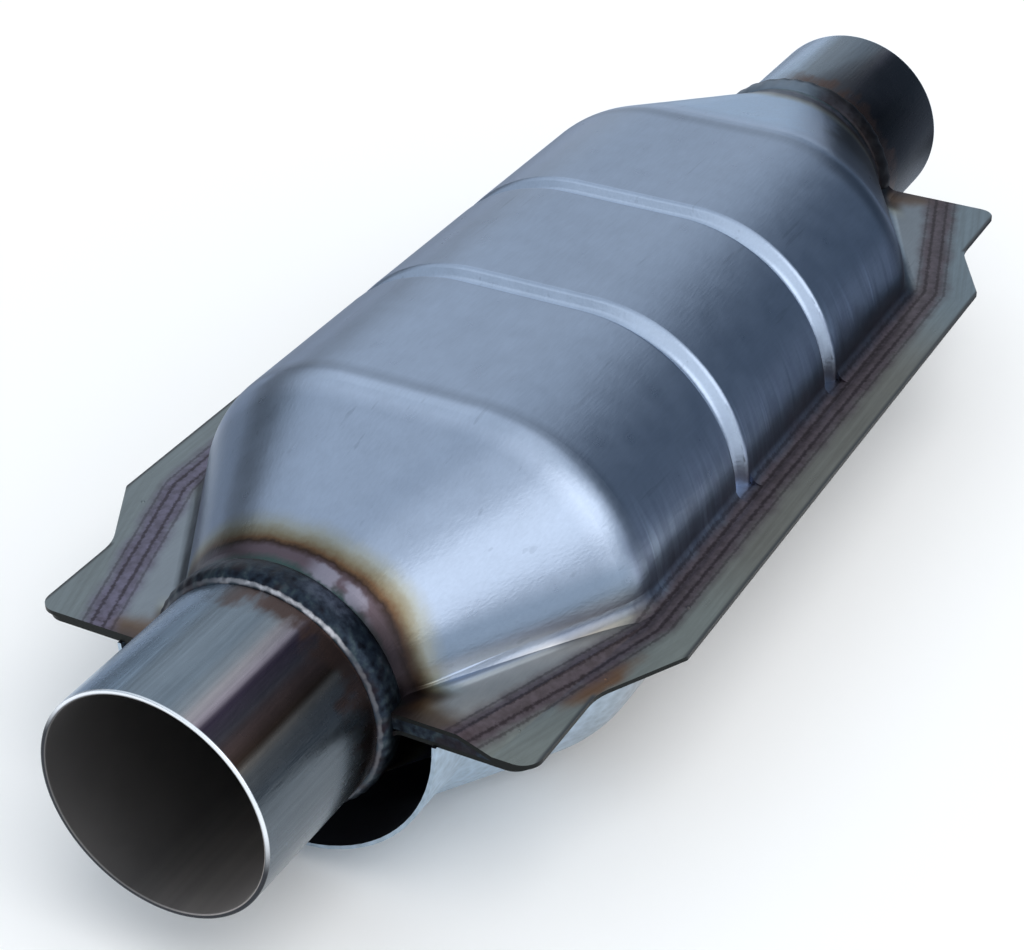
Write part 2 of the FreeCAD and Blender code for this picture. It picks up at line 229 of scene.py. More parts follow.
# Mill finish: slow clouds, fine grain and short hairline scratches on any bare sheet or tube.
HAIRLINE_SHADE = -0.12
mill_finish, given, result = effect(
    "mill_finish",
    (("Place", "Vector"), ("Colour", "Color"), ("Cloud", "Float"), ("Roughness", "Float")),
    (("Colour", "Color"), ("Roughness", "Float"), ("Height", "Float")))
clouds = noise(mill_finish, given["Place"], 28, 4)
blotches = noise(mill_finish, given["Place"], 150, 3)
grain = noise(mill_finish, given["Place"], 1500, 2, (0.15, 1, 1))
hairlines = ease(mill_finish, noise(mill_finish, given["Place"], 420, 2, (0.06, 1, 1)), 0.68, 0.74)
shade = added(mill_finish, hairlines, HAIRLINE_SHADE, 1.0)
for pattern, share in ((clouds, given["Cloud"]), (blotches, 0.18), (grain, 0.16)):
    shade = added(mill_finish, centred(mill_finish, pattern), share, shade)
rough = added(mill_finish, centred(mill_finish, blotches), 0.08, given["Roughness"])
mill_finish.links.new(dye(mill_finish, 1.0, given["Colour"], shade), result["Colour"])
mill_finish.links.new(rough, result["Roughness"])
mill_finish.links.new(added(mill_finish, blotches, 0.5, grain), result["Height"])

# Heat tint: from bare metal through straw, rust, brown and mauve to blue grey as the weld comes
# nearer, with patches of painted lilac highlight in the mauve a little to the right of the top.
STRAW = (0.31, 0.325, 0.29, 1)
OLIVE = (0.205, 0.18, 0.125, 1)
RUST = (0.13, 0.078, 0.045, 1)
BROWN = (0.040, 0.026, 0.022, 1)
MAUVE = (0.118, 0.090, 0.108, 1)
LILAC_HIGHLIGHT = (0.26, 0.25, 0.31, 1)
BLUE_GREY = (0.042, 0.076, 0.074, 1)
LILAC_HIGHLIGHT_HEAT = 0.66
LILAC_HIGHLIGHT_SIDE = -0.0145
heat_tint, given, result = effect(
    "heat_tint",
    (("Place", "Vector"), ("Colour", "Color"), ("Heat", "Float"), ("Strength", "Float")),
    (("Colour", "Color"),))
heat = given["Heat"]
for scale, share in ((60, 0.16), (700, 0.05)):
    wander = centred(heat_tint, noise(heat_tint, given["Place"], scale, 3))
    heat = added(heat_tint, wander, share, heat)
oxide = ramp(heat_tint, heat, (
    (0.0, STRAW), (0.34, STRAW), (0.44, OLIVE), (0.50, RUST), (0.54, BROWN), (0.60, MAUVE),
    (0.66, MAUVE), (0.74, BLUE_GREY), (1.0, BLUE_GREY)))
# Patches of painted lilac highlight.
patch = ease(heat_tint, noise(heat_tint, given["Place"], 150, 3), 0.44, 0.58, 0.0, 0.85)
off_patch = away(heat_tint, split(heat_tint, given["Place"])[1], LILAC_HIGHLIGHT_SIDE)
near_mauve = fade(heat_tint, away(heat_tint, heat, LILAC_HIGHLIGHT_HEAT), 0.05, 0.09)
patch = product(heat_tint, patch, fade(heat_tint, off_patch, 0.005, 0.010), near_mauve)
oxide = blend(heat_tint, patch, oxide, LILAC_HIGHLIGHT)
cover = product(heat_tint, ease(heat_tint, heat, 0.18, 0.40), given["Strength"])
heat_tint.links.new(blend(heat_tint, cover, given["Colour"], oxide), result["Colour"])

shell_steel, tree, shader, place = material("shell_steel", 1)
x, y, z = split(tree, place)
along = away(tree, x, MIDDLE)
across = maths(tree, "ABSOLUTE", y)
lift = maths(tree, "ABSOLUTE", z)


def outward_of(side, turn, slope):
    """Distance outside a line that runs at side and closes in by slope beyond turn."""
    beyond = maths(tree, "MAXIMUM", maths(tree, "SUBTRACT", along, turn), 0.0)
    return maths(tree, "SUBTRACT", across, added(tree, beyond, -slope, side))


off_seam = outward_of(SEAM_SIDE, SEAM_TURN, SEAM_SLOPE)
beyond_root = outward_of(ROOT_SIDE, ROOT_TURN, ROOT_SLOPE)
smoke = centred(tree, noise(tree, place, 110, 4))
soot = centred(tree, noise(tree, place, 1000, 3))
left = ease(tree, y, -0.01, 0.01)
right = maths(tree, "SUBTRACT", 1.0, left)
at_ends = ease(tree, along, 0.088, 0.104)
in_rear_half = ease(tree, x, MIDDLE - 0.01, MIDDLE + 0.01)
inner_end = blend(tree, maths(tree, "MAXIMUM", left, in_rear_half), INNER_WARM, INNER_COOL)
inner_strip = blend(tree, at_ends, FLANGE_STEEL, inner_end)
outer_strip = blend(tree, ease(tree, x, 0.24, 0.31), FLANGE_STEEL, OUTER_REAR)
outer_strip = blend(tree, left, outer_strip, OUTER_LEFT)
right_run = product(tree, fade(tree, along, 0.05, 0.09), right)
outer_strip = dye(tree, right_run, outer_strip, OUTER_RUN_DYE)
colour = blend(tree, ease(tree, beyond_root, -0.003, 0.001), BODY_STEEL, inner_strip)
colour = blend(tree, ease(tree, off_seam, -0.003, 0.003), colour, outer_strip)
finish = place_effect(tree, mill_finish, {
    "Place": place, "Colour": colour, "Cloud": 0.14, "Roughness": 0.29})
colour = finish["Colour"]

# Painted shade: a dark line on the body side of each crease. Painted highlight: a bright band on
# its cone side and along the grooves.
CREASE_PLACE = 0.0895
CREASE_REACH = 0.010
GROOVE_PLACE = 0.030
GROOVE_HIGHLIGHT = (1.26, 1.26, 1.24, 1)
CREASE_SHADING_STOPS = (
    (0.0, WHITE), (0.17, WHITE), (0.32, (0.80, 0.80, 0.80, 1)), (0.41, (0.82, 0.82, 0.82, 1)),
    (0.50, (1.14, 1.13, 1.12, 1)), (0.57, (1.20, 1.19, 1.17, 1)), (0.74, (1.22, 1.20, 1.18, 1)),
    (0.95, WHITE))
on_form = fade(tree, beyond_root, -0.004, -0.001)
crease_off = maths(tree, "SUBTRACT", along, CREASE_PLACE)
crease_share = node(tree, "MapRange", {0: crease_off, 1: -CREASE_REACH, 2: CREASE_REACH}).outputs[0]
colour = dye(tree, on_form, colour, ramp(tree, crease_share, CREASE_SHADING_STOPS))
# Painted highlight along the grooves.
groove_highlight = fade(tree, away(tree, along, GROOVE_PLACE), 0.0030, 0.0046)
groove_highlight = product(tree, groove_highlight, ease(tree, lift, 0.008, 0.020))
colour = dye(tree, groove_highlight, colour, GROOVE_HIGHLIGHT)

# Painted shade darkens the cones' flanks, on the left and low on the right. At the foot of the
# right ones a painted highlight runs along the root towards the neck, and the fillet between it
# and the body has painted shade.
LEFT_FLANK_SHADE = (0.78, 0.82, 0.84, 1)
RIGHT_FLANK_SHADE = (0.68, 0.73, 0.76, 1)
ROOT_HIGHLIGHT_PLACE = 0.0006
ROOT_HIGHLIGHT = (1.75, 1.80, 1.80, 1)
FILLET_SHADE = (0.58, 0.62, 0.70, 1)
# Painted shade on the left flanks.
left_flank_shade = product(tree, ease(tree, y, 0.016, 0.040), ease(tree, along, 0.090, 0.104), on_form)
colour = dye(tree, left_flank_shade, colour, LEFT_FLANK_SHADE)
# Painted shade low on the right flanks.
right_flank_shade = product(
    tree, right, ease(tree, lift, 0.0068, 0.0096), fade(tree, lift, 0.0125, 0.0178),
    ease(tree, along, 0.088, 0.094), fade(tree, beyond_root, 0.0, 0.002))
colour = dye(tree, right_flank_shade, colour, RIGHT_FLANK_SHADE)
# Painted highlight along the root of the right flanks.
root_line_highlight = fade(tree, away(tree, beyond_root, ROOT_HIGHLIGHT_PLACE), 0.0006, 0.0018)
root_line_highlight = product(tree, root_line_highlight, right, ease(tree, along, 0.107, 0.117))
colour = dye(tree, root_line_highlight, colour, ROOT_HIGHLIGHT)
# Painted shade in the root fillet on the right.
fillet_shade = product(
    tree, right, ease(tree, lift, 0.0014, 0.0020), fade(tree, lift, 0.0036, 0.0050),
    ease(tree, along, 0.088, 0.093), fade(tree, along, 0.109, 0.116),
    fade(tree, beyond_root, 0.0, 0.001))
colour = dye(tree, fillet_shade, colour, FILLET_SHADE)

# Painted shade darkens the right of the rear cone and its crease; painted light brightens its top.
SHADE_SLOPE = 0.35
TOP_LIGHT = (1.26, 1.36, 1.34, 1)
REAR_SHADE = (0.18, 0.17, 0.17, 1)
REAR_CREASE = MIDDLE + 0.0865
PAINTED_SHADE = (0.11, 0.13, 0.17, 1)
rear_cone = product(tree, ease(tree, x, MIDDLE + 0.090, MIDDLE + 0.104), on_form)
to_left = added(tree, maths(tree, "SUBTRACT", FLANGE_END, along), SHADE_SLOPE, y)
to_right = maths(tree, "MULTIPLY", to_left, -1.0)
# Painted light on the rear cone's top, painted shade on its right and along its crease.
lit_top = product(tree, rear_cone, fade(tree, to_right, -0.004, 0.010))
colour = dye(tree, lit_top, colour, TOP_LIGHT)
rear_cone_shade = ease(tree, added(tree, smoke, 0.010, to_right), 0.007, 0.015)
rear_cone_shade = product(tree, rear_cone_shade, ease(tree, along, 0.102, 0.124, 0.35, 1.0), rear_cone)
colour = dye(tree, rear_cone_shade, colour, REAR_SHADE)
rear_crease_shade = fade(tree, away(tree, x, REAR_CREASE), 0.001, 0.006, 0.55)
rear_crease_shade = product(tree, rear_crease_shade, on_form, fade(tree, y, -0.042, -0.030))
colour = blend(tree, rear_crease_shade, colour, PAINTED_SHADE)

# Draw marks run round the body from the seam upwards, each a pale wedge with a dark neighbour. The
# body's foot and the root of the left flange's ends have painted shade, the foot towards the rear.
MARK_STRETCH = 0.10
MARK_STOPS = (
    (0.30, WHITE), (0.42, (0.62, 0.62, 0.66, 1)), (0.50, (0.95, 0.95, 0.95, 1)),
    (0.60, (0.70, 0.68, 0.74, 1)), (0.66, (1.35, 1.35, 1.30, 1)), (0.72, (0.9, 0.9, 0.9, 1)))
ROOT_SHADE_PLACE = 0.0018
ROOT_SHADE = (0.06, 0.065, 0.07, 1)
low = product(
    tree, fade(tree, lift, 0.012, 0.030), fade(tree, along, 0.086, 0.094, 0.7),
    fade(tree, beyond_root, -0.001, 0.002))
marks = noise(tree, joined(tree, x, maths(tree, "MULTIPLY", lift, MARK_STRETCH)), 150, 4)
colour = dye(tree, low, colour, ramp(tree, marks, MARK_STOPS))
# Painted shade on the body's foot.
foot_shade_height = added(tree, smoke, 0.012, added(tree, marks, 0.010, lift))
foot_shade = product(
    tree, fade(tree, foot_shade_height, 0.010, 0.024, 0.85), fade(tree, along, 0.088, 0.100),
    fade(tree, off_seam, -0.004, -0.001), ease(tree, x, 0.16, 0.25))
colour = blend(tree, foot_shade, colour, PAINTED_SHADE)
# Painted shade in the root of the left flange's ends.
root_shade_off = added(tree, smoke, 0.003, maths(tree, "ADD", beyond_root, ROOT_SHADE_PLACE))
root_shade = fade(tree, maths(tree, "ABSOLUTE", root_shade_off), 0.0008, 0.0030, 0.75)
colour = blend(tree, product(tree, root_shade, left, at_ends), colour, ROOT_SHADE)

# Each neck is heat tinted beside its ring weld and sooted on its sides, and the flange next to it
# is scorched.
TINT_REACH = 0.029
SIDE_COOLING = 0.085
SCORCH_SLOPE = -0.25
SOOT = (0.024, 0.020, 0.022, 1)
SCORCH = (0.045, 0.030, 0.032, 1)
necks = node(tree, "MapRange", {0: along, 1: FLANGE_END - TINT_REACH, 2: FLANGE_END}).outputs[0]
necks = maths(tree, "SUBTRACT", necks, fade(tree, z, 0.010, 0.024, SIDE_COOLING))
above_flange = fade(tree, beyond_root, 0.001, 0.006)
strength = product(tree, ease(tree, x, MIDDLE - 0.02, MIDDLE + 0.02, 1.0, 0.85), above_flange)
colour = place_effect(tree, heat_tint, {
    "Place": place, "Colour": colour, "Heat": necks, "Strength": strength})["Colour"]
sooted = product(
    tree, ease(tree, along, 0.1405, 0.1450), fade(tree, lift, 0.018, 0.028, 0.78), above_flange)
colour = blend(tree, sooted, colour, SOOT)
scorch = added(tree, smoke, 0.008, added(tree, across, SCORCH_SLOPE, along))
scorched = product(
    tree, ease(tree, scorch, 0.1335, 0.1425), fade(tree, off_seam, -0.001, 0.004, 0.9),
    ease(tree, beyond_root, -0.001, 0.002))
colour = blend(tree, scorched, colour, blend(tree, ease(tree, scorch, 0.139, 0.148), RUST, SCORCH))

# A rust stain at the front right notch, where water stood in the joint.
STAIN_PLACE = (0.083, -0.0668)
STAIN_SHAPE = 0.24
STAIN_SLANT = 0.25
STAIN_RUST = (0.165, 0.080, 0.038, 1)
stain_run = maths(tree, "SUBTRACT", x, STAIN_PLACE[0])
stain_side = added(tree, stain_run, STAIN_SLANT, maths(tree, "SUBTRACT", y, STAIN_PLACE[1]))
stain = span(tree, maths(tree, "MULTIPLY", stain_run, STAIN_SHAPE), stain_side)
stain = fade(tree, added(tree, smoke, 0.005, stain), 0.0010, 0.0046, 0.9)
colour = blend(tree, product(tree, stain, ease(tree, z, 0.0, 0.001)), colour, STAIN_RUST)

# The seam is a mottled brown band with two dark lines and a fainter pair outside them.
SEAM_HALF_GAP = 0.00175
OUTER_LINE = 2.4 * SEAM_HALF_GAP
SEAM_BROWN = (0.100, 0.076, 0.086, 1)
SEAM_LEFT = (0.145, 0.130, 0.180, 1)
SEAM_DARK = (0.025, 0.018, 0.020, 1)
from_seam = maths(tree, "ABSOLUTE", off_seam)
seam_off = added(tree, soot, 0.0008, added(tree, smoke, 0.005, from_seam))
seam_band = fade(tree, seam_off, 0.0022, 0.0072, 0.92)
mottle = ramp(tree, noise(tree, place, 480, 4), (
    (0.35, (0.84, 0.82, 0.82, 1)), (0.65, (1.28, 1.28, 1.32, 1))))
seam_colour = dye(tree, 1.0, blend(tree, left, SEAM_BROWN, SEAM_LEFT), mottle)
colour = blend(tree, seam_band, colour, seam_colour)
seam_lines = 0.0
for line, fraying, reach, depth in (
        (SEAM_HALF_GAP, 0.0016, 0.0008, 0.7), (OUTER_LINE, 0.0012, 0.0006, 0.45)):
    line_off = added(tree, soot, fraying, away(tree, from_seam, line))
    seam_lines = maths(tree, "MAXIMUM", seam_lines, fade(tree, line_off, 0.0001, reach, depth))
colour = blend(tree, seam_lines, colour, SEAM_DARK)

# Outside the seam the sheet shows its rolling lines. Its rim has painted shade along the run and
# the ears' sides and a painted highlight across the ears' ends, and the sheared edge itself has
# painted shade, almost black.
ROLLING_STRETCH = 0.03
RIM_START = 0.0012
RIM_FULL = 0.0002
RIM_SHADE = (0.07, 0.075, 0.078, 1)
RIM_HIGHLIGHT = (0.30, 0.35, 0.40, 1)
EDGE_SHADE = (0.02, 0.022, 0.022, 1)
rolled = noise(tree, joined(tree, maths(tree, "MULTIPLY", x, ROLLING_STRETCH), off_seam), 700, 3)
rolled = ramp(tree, rolled, ((0.35, (0.88, 0.87, 0.86, 1)), (0.65, (1.06, 1.06, 1.06, 1))))
colour = dye(tree, ease(tree, off_seam, 0.004, 0.006), colour, rolled)
# Painted shade along the rim.
run_rim = ease(tree, across, FLANGE_WIDTH - RIM_START, FLANGE_WIDTH - RIM_FULL)
ear_rim = ease(tree, across, EAR_WIDTH - RIM_START, EAR_WIDTH - RIM_FULL)
ear_rim = product(tree, ear_rim, ease(tree, along, EAR_START, EAR_START + 0.002))
colour = blend(tree, maths(tree, "MAXIMUM", run_rim, ear_rim), colour, RIM_SHADE)
# Painted highlight across the ears' ends.
end_rim_highlight = ease(tree, along, FLANGE_END - 0.0016, FLANGE_END - 0.0006)
end_rim_highlight = product(tree, end_rim_highlight, ease(tree, across, 0.036, 0.040), 0.7)
colour = blend(tree, end_rim_highlight, colour, RIM_HIGHLIGHT)
# Painted shade on the sideways-facing sheared edges.
upright = maths(tree, "ABSOLUTE", split(tree, node(tree, "NewGeometry").outputs["Normal"])[2])
shaded_edge = product(tree, fade(tree, upright, 0.2, 0.5), ease(tree, beyond_root, 0.0, 0.003))
colour = blend(tree, shaded_edge, colour, EDGE_SHADE)
roughness = added(tree, maths(tree, "MAXIMUM", seam_band, shaded_edge), 0.14, finish["Roughness"])
wear(tree, shader, colour, roughness, finish["Height"], 0.2, 0.0002)
dress(shell_steel, "upper_half_shell", "lower_half_shell")

# Pipe stubs: plain drawn tube, 60 mm outside with a 1.3 mm wall, cut square and lightly deburred.
# Bright and dark streaks run along it, with a painted highlight strip right of the top and painted
# light on the upper left; it is browned next to the weld, and the bore is dull.
PIPE_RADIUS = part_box("inlet_pipe")[1].z
PIPE_WALL = 0.0013
BORE_RADIUS = PIPE_RADIUS - PIPE_WALL
LIP_RADIUS = 0.0004
PIPE_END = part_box("outlet_pipe")[1].x - MIDDLE
AROUND = 240
CORNERS = ((0, 0), (0, 1), (1, 1), (1, 0))
TUBE_GREY = (0.185, 0.225, 0.265, 1)
TUBE_BROWN = (0.095, 0.056, 0.045, 1)


def quads_over(rows, columns, wrap_rows=False, wrap_columns=False):
    """Quads of a grid of points counted row by row. Point (i, j) joins (i + 1, j) and (i, j + 1),
    and wrapping joins the last row or column to the first."""
    i = np.arange(rows if wrap_rows else rows - 1)[:, None]
    j = np.arange(columns if wrap_columns else columns - 1)[None, :]
    corners = [((i + di) % rows) * columns + (j + dj) % columns for di, dj in CORNERS]
    return np.stack(np.broadcast_arrays(*corners), -1).reshape(-1, 4)


def shape(name, points, quads):
    """New smooth object over the points and quads."""
    mesh = bpy.data.meshes.new(name)
    mesh.from_pydata(points.reshape(-1, 3), [], quads.reshape(-1, 4))
    mesh.shade_smooth()
    made = bpy.data.objects.new(name, mesh)
    bpy.context.scene.collection.objects.link(made)
    return made


def surface(name, points, wrap_rows=False, wrap_columns=False):
    """Object over a grid of points, joined as in quads_over."""
    return shape(name, points, quads_over(*points.shape[:2], wrap_rows, wrap_columns))


def turned(name, profile, bulge=0.0):
    """Profile of (x, radius) points turned about the X axis: y = r sin a, z = r cos a. bulge is a
    grid of extra radius, one value for each profile point and angle."""
    angle = np.linspace(0, 2 * np.pi, AROUND, endpoint=False)
    radius = profile[:, 1:2] + bulge + 0 * angle
    along_x = profile[:, 0:1] + 0 * angle
    points = np.stack([along_x, radius * np.sin(angle), radius * np.cos(angle)], -1)
    return surface(name, points, True, True)


def tube_profile(mouth, inner_end):
    """Closed section of the tube wall: straight inside and outside, with quarter rounds of
    LIP_RADIUS at both corners of each end."""
    direction = 1 if inner_end > mouth else -1
    turn = np.linspace(0, np.pi / 2, 5)
    outer, inner = PIPE_RADIUS - LIP_RADIUS, BORE_RADIUS + LIP_RADIUS
    start, stop = mouth + direction * LIP_RADIUS, inner_end - direction * LIP_RADIUS
    rise, run = LIP_RADIUS * np.sin(turn), direction * LIP_RADIUS * np.cos(turn)
    corners = (
        (start - run, outer + rise),
        (stop + run[::-1], outer + rise[::-1]),
        (stop + run, inner - rise),
        (start - run[::-1], inner - rise[::-1]),
    )
    return np.concatenate([np.stack(corner, -1) for corner in corners])


def angle_round(tree, y, z):
    """Angle about the X axis in degrees: 0 on top, 90 on the right side."""
    turn = maths(tree, "ARCTAN2", maths(tree, "MULTIPLY", y, -1.0), z)
    return maths(tree, "MULTIPLY", turn, 180 / math.pi)


def at_angle(degrees):
    """Place on a ramp that runs from -180 to 180 degrees."""
    return (degrees + 180) / 360


# Colours round the tube: real streaks, a painted highlight strip from 18 to 26.5 degrees and
# painted light from -70 to -18.
STREAK_AND_SHADING_STOPS = (
    (at_angle(-180), TUBE_GREY), (at_angle(-70), (0.34, 0.44, 0.56, 1)),
    (at_angle(-18), (0.36, 0.47, 0.60, 1)), (at_angle(-8), TUBE_GREY), (at_angle(12), TUBE_GREY),
    (at_angle(18), (0.24, 0.27, 0.30, 1)), (at_angle(22), (0.30, 0.285, 0.30, 1)),
    (at_angle(26.5), (0.285, 0.25, 0.29, 1)), (at_angle(30), (0.030, 0.022, 0.040, 1)),
    (at_angle(37), (0.055, 0.053, 0.064, 1)), (at_angle(43), (0.075, 0.052, 0.050, 1)),
    (at_angle(50), (0.036, 0.024, 0.018, 1)), (at_angle(53), (0.17, 0.155, 0.14, 1)),
    (at_angle(57), (0.12, 0.125, 0.13, 1)), (at_angle(66), (0.080, 0.095, 0.11, 1)),
    (at_angle(80), (0.115, 0.135, 0.155, 1)), (at_angle(120), (0.16, 0.19, 0.22, 1)),
    (at_angle(179), TUBE_GREY))
pipe_steel, tree, shader, place = material("pipe_steel", 1)
x, y, z = split(tree, place)
angle = angle_round(tree, y, z)
radius = span(tree, y, z)
streaks = noise(tree, place, 260, 4, (0.03, 1, 1))
fine_streaks = noise(tree, place, 1100, 3, (0.02, 1, 1))
wavy_angle = added(tree, centred(tree, streaks), 5.0, angle)
turn_share = node(tree, "MapRange", {0: wavy_angle, 1: -180.0, 2: 180.0}).outputs[0]
colour = ramp(tree, turn_share, STREAK_AND_SHADING_STOPS)
colour = dye(tree, 1.0, colour, added(tree, fine_streaks, 0.5, 0.75))

# The outlet stub is heat blued and darkened with painted shade on its right, past a line that
# slants further right at the mouth.
OUTLET_SLANT = -650.0
OUTLET_BLUE = (0.050, 0.052, 0.062, 1)
OUTLET_BLACK = (0.015, 0.016, 0.022, 1)
slant = added(tree, maths(tree, "SUBTRACT", x, MIDDLE + FLANGE_END), OUTLET_SLANT, wavy_angle)
rear_blueing_and_shade = product(
    tree, ease(tree, slant, -26.0, 14.0), ease(tree, slant, -10.0, -2.0, 0.5, 1.0),
    ease(tree, x, MIDDLE, MIDDLE + 0.01, 0.0, 0.92))
rear_blueing_and_shade_colour = blend(tree, ease(tree, slant, 22.0, 46.0), OUTLET_BLUE, OUTLET_BLACK)
colour = blend(tree, rear_blueing_and_shade, colour, rear_blueing_and_shade_colour)
finish = place_effect(tree, mill_finish, {
    "Place": place, "Colour": colour, "Cloud": 0.2, "Roughness": 0.27})

# Scorched patches beside the weld, on the top and right, where the torch went round last.
PATCH_SPREAD = -0.030
off_middle = away(tree, x, MIDDLE)
patches = centred(tree, noise(tree, place, 170, 4, (0.5, 1, 1)))
patch_off = added(tree, patches, PATCH_SPREAD, maths(tree, "SUBTRACT", off_middle, FLANGE_END))
patch = product(tree, fade(tree, patch_off, 0.003, 0.011, 0.9), ease(tree, wavy_angle, -30.0, 2.0))
colour = blend(tree, patch, finish["Colour"], TUBE_BROWN)

# The deburred lip has a painted highlight on the upper right and is dark elsewhere. The bore is
# dull grey, browner on the right and lightened there by painted light.
LIP_HIGHLIGHT_ANGLE = 18.0
LIP_DARK = (0.035, 0.038, 0.045, 1)
LIP_HIGHLIGHT = (0.86, 0.90, 0.95, 1)
BORE_DARK = (0.17, 0.165, 0.165, 1)
BORE_LIT_BROWN = (0.54, 0.50, 0.48, 1)
lip = fade(tree, maths(tree, "SUBTRACT", PIPE_END, off_middle), 0.0003, 0.0006)
# Painted highlight on the lip's upper right.
lip_highlight_mask = product(
    tree, fade(tree, away(tree, angle, LIP_HIGHLIGHT_ANGLE), 62.0, 88.0),
    ease(tree, radius, PIPE_RADIUS - 0.0011, PIPE_RADIUS - 0.0006))
colour = blend(tree, lip, colour, blend(tree, lip_highlight_mask, LIP_DARK, LIP_HIGHLIGHT))
bore = fade(tree, radius, BORE_RADIUS + 0.0001, BORE_RADIUS + 0.0004)
# Painted light on the bore's right, which is also browner.
bore_lit_side = fade(tree, added(tree, streaks, 0.010, y), -0.014, 0.018)
colour = blend(tree, bore, colour, blend(tree, bore_lit_side, BORE_DARK, BORE_LIT_BROWN))
roughness = added(tree, bore, 0.30, finish["Roughness"])
height = added(tree, fine_streaks, 0.6, finish["Height"])
wear(tree, shader, colour, roughness, height, 0.2, 0.0002)
for name, mouth_side in (("inlet", 0), ("outlet", 1)):
    ends = [corner.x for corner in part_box(name + "_pipe")]
    tube = turned(name + "_tube", tube_profile(ends[mouth_side], ends[1 - mouth_side]))
    tube.data.materials.append(pipe_steel)
    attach(tube, "root")
    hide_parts(name + "_pipe")

# Ring welds: a broad bead of filler from the pipe over each neck's end and back along the neck. The
# front one is flat and even, the rear one lumpier. Both are dark with heat, with a painted
# highlight along the toe.
rng = np.random.default_rng(7)
WELD_LUMP = {"inlet": 0.00010, "outlet": 0.00014}
WELD_PITCH = {"inlet": 62, "outlet": 38}
WELD_SINK = 0.0003
NECK_RADIUS = PIPE_RADIUS + 0.0013
WELD_REACH = 0.0018
WELD_LAP = 0.0075
WELD_CROWN = 0.0009
WELD_BULGE = 0.00035
FACE_STEPS = 7


def bulged(start, stop, steps):
    """Parabola from start to stop: the chord plus 4 t (1 - t) WELD_BULGE along its outward side."""
    share = np.linspace(0, 1, steps)[:, None]
    chord = stop - start
    outward = np.array([-chord[1], chord[0]]) / np.hypot(*chord)
    outward = outward * np.sign(outward[1])
    return start + share * chord + 4 * share * (1 - share) * WELD_BULGE * outward


def bead_profile(neck_end, outward):
    """Closed bead section: up from the toe on the pipe to the crown, down to the heel on the neck,
    and back underneath inside the sheet. outward is the direction of the pipe's mouth."""
    toe = np.array([neck_end + outward * WELD_REACH, PIPE_RADIUS])
    crown = np.array([neck_end - outward * WELD_CROWN, NECK_RADIUS + WELD_CROWN])
    heel = np.array([neck_end - outward * WELD_LAP, NECK_RADIUS])
    under = np.array([[heel[0], PIPE_RADIUS - WELD_SINK], [toe[0], PIPE_RADIUS - WELD_SINK]])
    faces = bulged(toe, crown, FACE_STEPS), bulged(crown, heel, FACE_STEPS)[1:]
    return np.concatenate([*faces, under])


def bead_lumps(count, lump, pitch):
    """Extra radius of the bead: a ripple of the given pitch with a wandering phase, times a bump
    across the bead that is nothing at its edges."""
    angle = np.linspace(0, 2 * np.pi, AROUND, endpoint=False)
    wander = sum(
        rng.uniform(0.2, 1.0) * np.sin(k * angle + rng.uniform(0, 6.3)) for k in (1, 2, 3, 5, 8))
    ripple = np.sin(pitch * angle + 1.6 * wander) + 0.45 * wander
    across_bead = np.sin(np.linspace(0, np.pi, count)) ** 0.8
    return lump * across_bead[:, None] * ripple


WELD_STOPS = (
    (0.30, (0.010, 0.012, 0.018, 1)), (0.50, (0.024, 0.034, 0.050, 1)),
    (0.62, (0.040, 0.058, 0.070, 1)), (0.78, (0.085, 0.09, 0.11, 1)))
WELD_BROWN = (0.022, 0.016, 0.020, 1)
WELD_HIGHLIGHT = (0.15, 0.17, 0.23, 1)
WELD_HIGHLIGHT_ANGLE = 28.0
HEEL_COOL = (0.20, 0.25, 0.31, 1)
WELD_SOOT = (0.018, 0.014, 0.014, 1)
TOE_PLACE = 0.0013
TOE_HIGHLIGHT_ANGLE = 14.0
TOE_HIGHLIGHT = (0.56, 0.56, 0.60, 1)
weld_metal, tree, shader, place = material("weld_metal", 1)
x, y, z = split(tree, place)
past_neck = maths(tree, "SUBTRACT", away(tree, x, MIDDLE), FLANGE_END)
angle = angle_round(tree, y, z)
mottle = noise(tree, place, 420, 4)
colour = ramp(tree, mottle, WELD_STOPS)
patches = ease(tree, noise(tree, place, 130, 3), 0.50, 0.66, 0.0, 0.8)
colour = blend(tree, patches, colour, WELD_BROWN)
# Painted highlight on the bead's heel a little right of the top.
weld_highlight_mask = product(
    tree, fade(tree, away(tree, angle, WELD_HIGHLIGHT_ANGLE), 5.0, 17.0, 0.8),
    fade(tree, past_neck, -0.0050, -0.0005), ease(tree, mottle, 0.35, 0.6, 0.5, 1.0))
colour = blend(tree, weld_highlight_mask, colour, WELD_HIGHLIGHT)

# The outlet's bead is cool and pale at its heel on the left and sooty on the right.
outlet_side = ease(tree, x, MIDDLE, MIDDLE + 0.01)
cool_heel = product(
    tree, fade(tree, past_neck, -0.0030, -0.0008, 0.85), fade(tree, angle, -4.0, 26.0), outlet_side)
colour = blend(tree, cool_heel, colour, HEEL_COOL)
sooty = product(tree, outlet_side, ease(tree, angle, 6.0, 24.0, 0.0, 0.85))
colour = blend(tree, sooty, colour, WELD_SOOT)
